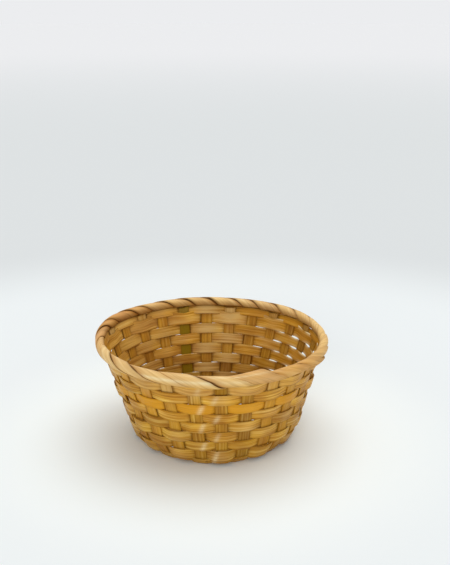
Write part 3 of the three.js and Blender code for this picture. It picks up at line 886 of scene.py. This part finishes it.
def foot_weaver(basket, name):
    """The thin weaver on the stakes' bend, which swings in and out as the rows do.

    Its path goes round a ring drawn in to the foot's superellipse, and its face leans as the bend does. Its
    ends meet behind a stake.
    """
    splints, wall = basket.splints, basket.wall
    rng = np.random.default_rng([splints.seed, 60])
    first, stations_each = 12, 13
    n = np.linspace(0, STAKES, STAKES * stations_each + 1)
    height, drawn_in, lean = 4.0 * MM, 2.2 * MM, math.radians(50)
    middle, _, up, out = basket.wall_frame(basket.stake_angle(first + n), np.full(len(n), wall.rows_start))
    level = unit(out * [1, 1, 0])
    rising = level * math.cos(lean) + np.array([0, 0, math.sin(lean)])
    outwards = level * math.sin(lean) - np.array([0, 0, math.cos(lean)])
    flat = soften(np.clip(-np.cos(math.pi * n) * 2.2, -1, 1)[:, None], 1.5)[:, 0]
    # It lies on the stakes' outer faces, and stands further off from their inner ones.
    swing = basket.weaver_swing + np.where(flat > 0, 0.1 * MM, 0.9 * MM)
    points = middle - up * ((wall.rows_start - height) * 0.55) - level * drawn_in
    points[:, 2] = height
    points = points + outwards * (flat * swing)[:, None]
    way = way_along(points)
    # It is widest between two stakes, and hangs lower where it goes inside, so that no light comes in there.
    between = 0.5 - 0.5 * np.cos(2 * math.pi * n)
    points[:, 2] -= 1.5 * MM * between * (1 - flat) / 2
    wander = 0.4 * splints.unevenness * waver(way, 90 * MM, rng)
    widths = splints.foot_weaver_width + 2 * MM * between + wander
    sections = splint_sections(points, -rising, widths, splints.weaver_thickness, splints.crown * 0.5)
    # Nothing reaches below the table.
    sections[..., 2] = np.maximum(sections[..., 2], 0.1 * MM)
    values = blank_values(way, widths, (rng.uniform(0, 3), rng.uniform(0, 40)))
    values["tone"] *= tone_with_painted_shade(sections, basket)
    return skin(name, basket.by_hand(sections), values)


def hoop(basket, name):
    """The hoop that the stakes' ends are folded over: a bundle of splints, so its ellipse has low lobes."""
    rng = np.random.default_rng([basket.splints.seed, 90])
    angles = np.linspace(0, 2 * math.pi, 360, endpoint=False)
    turns = np.linspace(0, 2 * math.pi, ROUND, endpoint=False)
    lobes = 0.12 * MM * (np.cos(5 * turns[None] + 3 * np.sin(2 * angles)[:, None]) - 1)
    sections = basket.border_point(angles[:, None], turns[None], lobes)
    way = angles * basket.border_radius
    values = blank_values(way, np.full(len(way), 5 * MM), (0, rng.uniform(0, 40)))
    return skin(name, basket.by_hand(sections), values, closed=True)


def add_node(tree, kind, inputs=None, **settings):
    """Adds a node with its settings, and links or sets its inputs, which are given by name or number.

    A Mix node's inputs are 0 for the share, 2 and 3 for two values and 6 and 7 for two colours.
    """
    made = tree.nodes.new(kind)
    for key, value in settings.items():
        setattr(made, key, value)
    for key, value in (inputs or {}).items():
        socket = made.inputs[key]
        if isinstance(value, bpy.types.NodeSocket):
            tree.links.new(value, socket)
        else:
            socket.default_value = value
    return made


def empty_tree(owner):
    """The node tree of a material or a world, with nothing in it yet."""
    owner.use_nodes = True
    owner.node_tree.nodes.clear()
    return owner.node_tree


def split_bamboo(name, colours, body, pale, dark, gloss):
    """Split bamboo, scraped and old: fibres that run along the splint, in streaks of paler and browner wood.

    The eye sees long straight streaks, a satin gloss along them, and a tone that differs from splint to
    splint and from place to place. The streaks are noise stretched along the splint. The mesh's own values
    add the stains, and painted light and shade: shade in the crossings and seams, and highlights.
    """
    if name in bpy.data.materials:
        return bpy.data.materials[name]
    material = bpy.data.materials.new(name)
    tree = empty_tree(material)
    value = {}
    for key in ("fibre", "rim", "seam", "tone", "streaked", *STAINS):
        read = add_node(tree, "ShaderNodeAttribute", attribute_name=key)
        value[key] = read.outputs["Vector" if key == "fibre" else "Fac"]

    # Bundles of fibre are about 0.4 mm wide. The middle scale is drawn at 1.7 mm, as coarse as shows in the
    # render. Each scale is the length and width of a grain in millimetres, and the noise's detail.
    grains = []
    for number, (grain_length, grain_width, detail) in enumerate(((38, 0.5, 3), (60, 1.7, 2), (24, 16, 1))):
        stretched = add_node(
            tree,
            "ShaderNodeMapping",
            {
                "Vector": value["fibre"],
                "Location": (4.1 * number, 7.3 * number, 1.9 * number),
                "Scale": (1 / (grain_length * MM), 1 / (grain_width * MM), 1),
            },
        )
        noise = add_node(
            tree,
            "ShaderNodeTexNoise",
            {"Vector": stretched.outputs[0], "Scale": 1.0, "Detail": detail, "Roughness": 0.6},
        )
        grains.append(noise.outputs["Fac"])
    fine, bundle, patch = grains

    # What follows the noise: how bright the wood is, its hue, how the stains break up, and how rough it is.
    # Bamboo is yellower where it is paler. Each is the noise's range and the range that it becomes.
    ranged = []
    for noise, low, high, least, most in (
        (patch, 0.32, 0.68, 0.8, 1.16),
        (patch, 0.32, 0.68, 0.493, 0.506),
        (bundle, 0.36, 0.64, 0.35, 1.5),
        (fine, 0.3, 0.7, gloss + 0.2, gloss - 0.06),
    ):
        span = {"Value": noise, "From Min": low, "From Max": high, "To Min": least, "To Max": most}
        ranged.append(add_node(tree, "ShaderNodeMapRange", span).outputs[0])
    brightness, hue, broken, roughness = ranged

    streaks = add_node(tree, "ShaderNodeMix", {0: 0.55, 2: fine, 3: bundle}, data_type="FLOAT")
    for operation, second, third in (
        ("SUBTRACT", 0.5, 0.5),
        ("MULTIPLY", value["streaked"], 0.5),
        ("MULTIPLY_ADD", 3.0, 0.5),
    ):
        factors = {0: streaks.outputs[0], 1: second, 2: third}
        streaks = add_node(tree, "ShaderNodeMath", factors, operation=operation)
    streaks.use_clamp = True
    browned = add_node(tree, "ShaderNodeValToRGB", {"Fac": streaks.outputs[0]})
    stops = browned.color_ramp.elements
    stops[0].position, stops[0].color = 0.08, dark
    stops[1].position, stops[1].color = 0.92, pale
    stops.new(0.5).color = body
    base = browned.outputs["Color"]

    tone = add_node(tree, "ShaderNodeMath", {0: brightness, 1: value["tone"]}, operation="MULTIPLY")
    toned = add_node(tree, "ShaderNodeHueSaturation", {"Color": base, "Hue": hue, "Value": tone.outputs[0]})
    base = toned.outputs[0]

    # Each stain's colour, its strength, and how much it follows the bundles of fibre. Two are painted light
    # and
    # shade: a highlight, and shade in umber.
    stains = (
        ("pale", colours.cream, 0.86, 0.3),
        ("amber", colours.amber, 0.8, 0.2),
        ("silver", colours.silver, 0.9, 0.7),
        ("blush", colours.blush, 0.62, 0.6),
        ("green", colours.green, 0.9, 0.1),
        ("painted_highlight", colours.painted_highlight, 0.62, 0.55),
        ("rim", colours.umber, 0.2, 0.6),
        ("painted_shade", colours.umber, 0.72, 0.2),
    )
    for key, stain, strength, breakup in stains:
        amount = add_node(tree, "ShaderNodeMath", {0: value[key], 1: strength}, operation="MULTIPLY")
        uneven = add_node(tree, "ShaderNodeMix", {0: breakup, 2: 1.0, 3: broken}, data_type="FLOAT")
        factors = {0: amount.outputs[0], 1: uneven.outputs[0]}
        amount = add_node(tree, "ShaderNodeMath", factors, operation="MULTIPLY", use_clamp=True)
        layers = {0: amount.outputs[0], 6: base, 7: tuple(stain)}
        base = add_node(tree, "ShaderNodeMix", layers, data_type="RGBA").outputs[2]
    # A seam's painted shade is umber, with a paler brown fringe. Each is how far it reaches and how strong it
    # is.
    for stain, near, far, strength in ((colours.brown_shade, 0.9, 3.2, 0.5), (colours.umber, 0.3, 1.1, 0.88)):
        span = {
            "Value": value["seam"],
            "From Min": near * MM,
            "From Max": far * MM,
            "To Min": strength,
            "To Max": 0.0,
        }
        seam = add_node(tree, "ShaderNodeMapRange", span, interpolation_type="SMOOTHSTEP")
        layers = {0: seam.outputs[0], 6: base, 7: tuple(stain)}
        base = add_node(tree, "ShaderNodeMix", layers, data_type="RGBA").outputs[2]

    height = add_node(tree, "ShaderNodeMix", {0: 0.6, 2: fine, 3: bundle}, data_type="FLOAT").outputs[0]
    bump = add_node(tree, "ShaderNodeBump", {"Height": height, "Strength": 0.6, "Distance": 0.45 * MM})
    # The cut edges, and where shade is painted, are matt.
    matt = value["rim"]
    for shade_share in (seam.outputs[0], value["painted_shade"]):
        matt = add_node(tree, "ShaderNodeMath", {0: matt, 1: shade_share}, operation="MAXIMUM").outputs[0]
    specular = add_node(tree, "ShaderNodeMapRange", {"Value": matt, "To Min": 0.13, "To Max": 0.03})
    shader = add_node(
        tree,
        "ShaderNodeBsdfPrincipled",
        {
            "Base Color": base,
            "Roughness": roughness,
            "Normal": bump.outputs[0],
            "IOR": 1.5,
            "Specular IOR Level": specular.outputs[0],
        },
    )
    add_node(tree, "ShaderNodeOutputMaterial", {"Surface": shader.outputs[0]})
    return material


def place(piece, node, material):
    """Puts a material on a piece, which stands for a CAD node, and hangs it on the basket's one body."""
    piece.data.materials.append(material)
    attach(piece, "root")
    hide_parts(node)


def stake_material(colours):
    """Stakes split from the middle of the cane's wall: golden brown and strongly streaked."""
    body, pale, dark = tuple(colours.russet), tuple(colours.straw), tuple(colours.walnut)
    return split_bamboo("split_bamboo_stakes", colours, body, pale, dark, 0.42)


def weaver_material(colours):
    """Weavers split from near the skin: honey coloured, with finer streaks and more gloss."""
    body, pale, dark = tuple(colours.honey), tuple(colours.straw), tuple(colours.toffee)
    return split_bamboo("split_bamboo_weavers", colours, body, pale, dark, 0.36)


class BASKET_OT_lengthwise_strips(bpy.types.Operator):
    """Makes the strips that run along X, each with both of its folded ends"""

    bl_idname = "basket.lengthwise_strips"
    bl_label = "Lengthwise Strips"

    def execute(self, context):
        basket = Basket(context.scene)
        material = stake_material(context.scene.basket_colours)
        for i in range(LENGTHWISE_STRIPS):
            piece = strip(
                basket,
                f"lengthwise_splint_{i + 1}",
                index=i,
                count=LENGTHWISE_STRIPS,
                crossed=CROSSWISE_STRIPS,
                turn=0,
                first_stake=0,
                passes_over=lambda at, crossing: (at + CROSSWISE_STRIPS - 1 - crossing) % 2 == 0,
                green=i == GREEN_STRIP,
            )
            place(piece, f"lengthwise_strip_{i + 1}", material)
        return {"FINISHED"}


class BASKET_OT_crosswise_strips(bpy.types.Operator):
    """Makes the strips that run along Y, each with both of its folded ends"""

    bl_idname = "basket.crosswise_strips"
    bl_label = "Crosswise Strips"

    def execute(self, context):
        basket = Basket(context.scene)
        material = stake_material(context.scene.basket_colours)
        for i in range(CROSSWISE_STRIPS):
            piece = strip(
                basket,
                f"crosswise_splint_{i + 1}",
                index=i,
                count=CROSSWISE_STRIPS,
                crossed=LENGTHWISE_STRIPS,
                turn=math.pi / 2,
                first_stake=LENGTHWISE_STRIPS,
                passes_over=lambda at, crossing: (at + crossing) % 2 == 1,
            )
            place(piece, f"crosswise_strip_{i + 1}", material)
        return {"FINISHED"}


class BASKET_OT_weaver_rows(bpy.types.Operator):
    """Makes the rows of weaver that go round the wall"""

    bl_idname = "basket.weaver_rows"
    bl_label = "Weaver Rows"

    def execute(self, context):
        basket = Basket(context.scene)
        material = weaver_material(context.scene.basket_colours)
        for row in range(ROWS):
            height = basket.wall.rows_start + (row + 0.5) * basket.row_pitch
            piece = weaver(basket, f"weaver_splint_{row + 1}", row, height, basket.splints.weaver_width)
            place(piece, f"weaver_row_{row + 1}", material)
        return {"FINISHED"}


class BASKET_OT_foot_weaver(bpy.types.Operator):
    """Makes the thin weaver on the stakes' bend"""

    bl_idname = "basket.foot_weaver"
    bl_label = "Foot Weaver"

    def execute(self, context):
        piece = foot_weaver(Basket(context.scene), "foot_weaver_splint")
        place(piece, "foot_weaver", weaver_material(context.scene.basket_colours))
        return {"FINISHED"}


class BASKET_OT_top_weaver(bpy.types.Operator):
    """Makes the thin weaver under the border"""

    bl_idname = "basket.top_weaver"
    bl_label = "Top Weaver"

    def execute(self, context):
        basket = Basket(context.scene)
        width = basket.splints.top_weaver_width
        piece = weaver(basket, "top_weaver_splint", ROWS, basket.wall_top - width / 2, width)
        place(piece, "top_weaver", weaver_material(context.scene.basket_colours))
        return {"FINISHED"}


class BASKET_OT_border_hoop(bpy.types.Operator):
    """Makes the hoop inside the rolled border"""

    bl_idname = "basket.border_hoop"
    bl_label = "Border Hoop"

    def execute(self, context):
        basket = Basket(context.scene)
        piece = hoop(basket, "border_bundle")
        place(piece, "border_hoop", stake_material(context.scene.basket_colours))
        return {"FINISHED"}


def floor_material(stage):
    """Matt studio paper, with painted light and shade: paler near the basket, which lightens its shadow
    there, darker and cooler behind it, and then pale again as far as it goes.
    """
    material = bpy.data.materials.new("matt_studio_paper")
    tree = empty_tree(material)
    where = add_node(tree, "ShaderNodeTexCoord").outputs["Object"]
    distance = add_node(tree, "ShaderNodeVectorMath", {0: where}, operation="LENGTH").outputs["Value"]
    mix = tuple(stage.near_floor)
    # From how far out each colour comes in, and where it is all there is.
    zones = (0.13, 0.26, stage.floor), (0.42, 0.68, stage.far_floor), (1.6, 6.0, stage.sky)
    for near, far, tint in zones:
        span = {"Value": distance, "From Min": near, "From Max": far}
        share = add_node(tree, "ShaderNodeMapRange", span, interpolation_type="SMOOTHSTEP")
        layers = {0: share.outputs[0], 6: mix, 7: tuple(tint)}
        mix = add_node(tree, "ShaderNodeMix", layers, data_type="RGBA").outputs[2]
    shader = add_node(tree, "ShaderNodeBsdfPrincipled", {"Base Color": mix, "Roughness": 0.9})
    add_node(tree, "ShaderNodeOutputMaterial", {"Surface": shader.outputs[0]})
    return material


def studio_floor(stage):
    """A flat disc far wider than what is seen: rings of points whose radii grow in even steps of scale."""
    rings = np.concatenate([[0.0], np.geomspace(0.1, 12, 16)])
    places = 64
    turns = np.linspace(0, 2 * math.pi, places, endpoint=False)
    flat = np.zeros((len(rings), places))
    points = np.stack([rings[:, None] * np.cos(turns), rings[:, None] * np.sin(turns), flat], -1)
    row = np.arange(1, len(rings) - 1)[:, None] * places
    k = np.arange(places)[None]
    after = (k + 1) % places
    quads = np.stack([row + k, row + places + k, row + places + after, row + after], -1).reshape(-1, 4)
    centre = np.stack([np.zeros(places, int), places + k[0], places + after[0]], -1)
    mesh = bpy.data.meshes.new("studio_floor")
    mesh.from_pydata(points.reshape(-1, 3), [], centre.tolist() + quads.tolist())
    mesh.validate()
    mesh.materials.append(floor_material(stage))
    floor = bpy.data.objects.new("studio_floor", mesh)
    bpy.context.scene.collection.objects.link(floor)


def studio_world(stage):
    """White light from all round, and a plain pale wall for the camera alone."""
    world = bpy.data.worlds.new("studio")
    bpy.context.scene.world = world
    tree = empty_tree(world)
    rays = add_node(tree, "ShaderNodeLightPath")
    light = add_node(tree, "ShaderNodeBackground", {"Color": (1, 1, 1, 1), "Strength": stage.world})
    seen = add_node(tree, "ShaderNodeBackground", {"Color": tuple(stage.sky), "Strength": 1.0})
    shaders = {0: rays.outputs["Is Camera Ray"], 1: light.outputs[0], 2: seen.outputs[0]}
    mixed = add_node(tree, "ShaderNodeMixShader", shaders)
    add_node(tree, "ShaderNodeOutputWorld", {"Surface": mixed.outputs[0]})


def towards(azimuth, elevation):
    """A unit vector out from the basket: azimuth is round it from the -Y side, and elevation is upwards."""
    level = math.cos(elevation)
    return Vector((math.sin(azimuth) * level, -math.cos(azimuth) * level, math.sin(elevation)))


def studio_camera(scene, stage):
    """The camera, turned so that the middle of the basket shows where it does in the photograph."""
    azimuth, elevation = stage.camera_azimuth, stage.camera_elevation
    middle = Vector((0, 0, scene.basket_wall.height / 2))
    down = math.atan((stage.centre_y - PHOTO_HEIGHT / 2) / stage.focal_pixels)
    yaw = azimuth + math.atan((stage.centre_x - PHOTO_WIDTH / 2) / stage.focal_pixels * math.cos(down))
    look = -towards(yaw, elevation - down)
    right = Vector((math.cos(yaw), math.sin(yaw), 0))
    up = right.cross(look)
    turned = Matrix((right, up, -look)).transposed().to_4x4()
    data = bpy.data.cameras.new("camera")
    data.sensor_width = 36
    data.lens = stage.focal_pixels / PHOTO_HEIGHT * data.sensor_width
    camera = bpy.data.objects.new("camera", data)
    where = middle + towards(azimuth, elevation) * stage.camera_distance
    camera.matrix_world = Matrix.Translation(where) @ turned
    scene.collection.objects.link(camera)
    scene.camera = camera


def sun(name, strength, spread, azimuth, elevation):
    """A broad soft lamp. Its strength is the share of full light that it gives a surface that faces it.

    The spread, azimuth and elevation are in degrees.
    """
    data = bpy.data.lights.new(name, "SUN")
    data.energy = strength * math.pi
    data.angle = math.radians(spread)
    lamp = bpy.data.objects.new(name, data)
    way = towards(math.radians(azimuth), math.radians(elevation))
    lamp.rotation_euler = way.to_track_quat("Z", "Y").to_euler()
    bpy.context.scene.collection.objects.link(lamp)


class BASKET_OT_stage(bpy.types.Operator):
    """Makes the floor, the lamps, the light from all round and the camera"""

    bl_idname = "basket.stage"
    bl_label = "Stage"

    def execute(self, context):
        scene = context.scene
        stage = scene.basket_stage
        studio_floor(stage)
        studio_world(stage)
        sun("overhead_lamp", stage.overhead, spread=60, azimuth=188, elevation=74)
        sun("front_lamp", stage.front, spread=24, azimuth=30, elevation=22)
        studio_camera(scene, stage)
        scene.view_settings.view_transform = "Standard"
        return {"FINISHED"}


class BASKET_PT_sidebar(bpy.types.Panel):
    """The basket's pieces and the stage"""

    bl_label = "Basket"
    bl_idname = "BASKET_PT_sidebar"
    bl_space_type = "VIEW_3D"
    bl_region_type = "UI"
    bl_category = "Basket"

    def draw(self, context):
        for operator in OPERATORS:
            self.layout.operator(operator.bl_idname)
        for name, _ in SETTINGS:
            group = getattr(context.scene, name)
            box = self.layout.box()
            for key in group.bl_rna.properties.keys():
                if key not in ("rna_type", "name"):
                    box.prop(group, key)


SETTINGS = (
    ("basket_splints", SplintSettings),
    ("basket_wall", WallSettings),
    ("basket_border", BorderSettings),
    ("basket_colours", BambooColours),
    ("basket_stage", StageSettings),
)
OPERATORS = (
    BASKET_OT_stage,
    BASKET_OT_lengthwise_strips,
    BASKET_OT_crosswise_strips,
    BASKET_OT_foot_weaver,
    BASKET_OT_weaver_rows,
    BASKET_OT_top_weaver,
    BASKET_OT_border_hoop,
)


def register():
    for name, group in SETTINGS:
        bpy.utils.register_class(group)
        setattr(bpy.types.Scene, name, bpy.props.PointerProperty(type=group))
    for operator in OPERATORS:
        bpy.utils.register_class(operator)
    bpy.utils.register_class(BASKET_PT_sidebar)


def unregister():
    bpy.utils.unregister_class(BASKET_PT_sidebar)
    for operator in reversed(OPERATORS):
        bpy.utils.unregister_class(operator)
    for name, group in reversed(SETTINGS):
        delattr(bpy.types.Scene, name)
        bpy.utils.unregister_class(group)


def main():
    register()
    bpy.ops.basket.stage()
    bpy.ops.basket.lengthwise_strips()
    bpy.ops.basket.crosswise_strips()
    bpy.ops.basket.foot_weaver()
    bpy.ops.basket.weaver_rows()
    bpy.ops.basket.top_weaver()
    bpy.ops.basket.border_hoop()


if __name__ == "__main__":
    main()
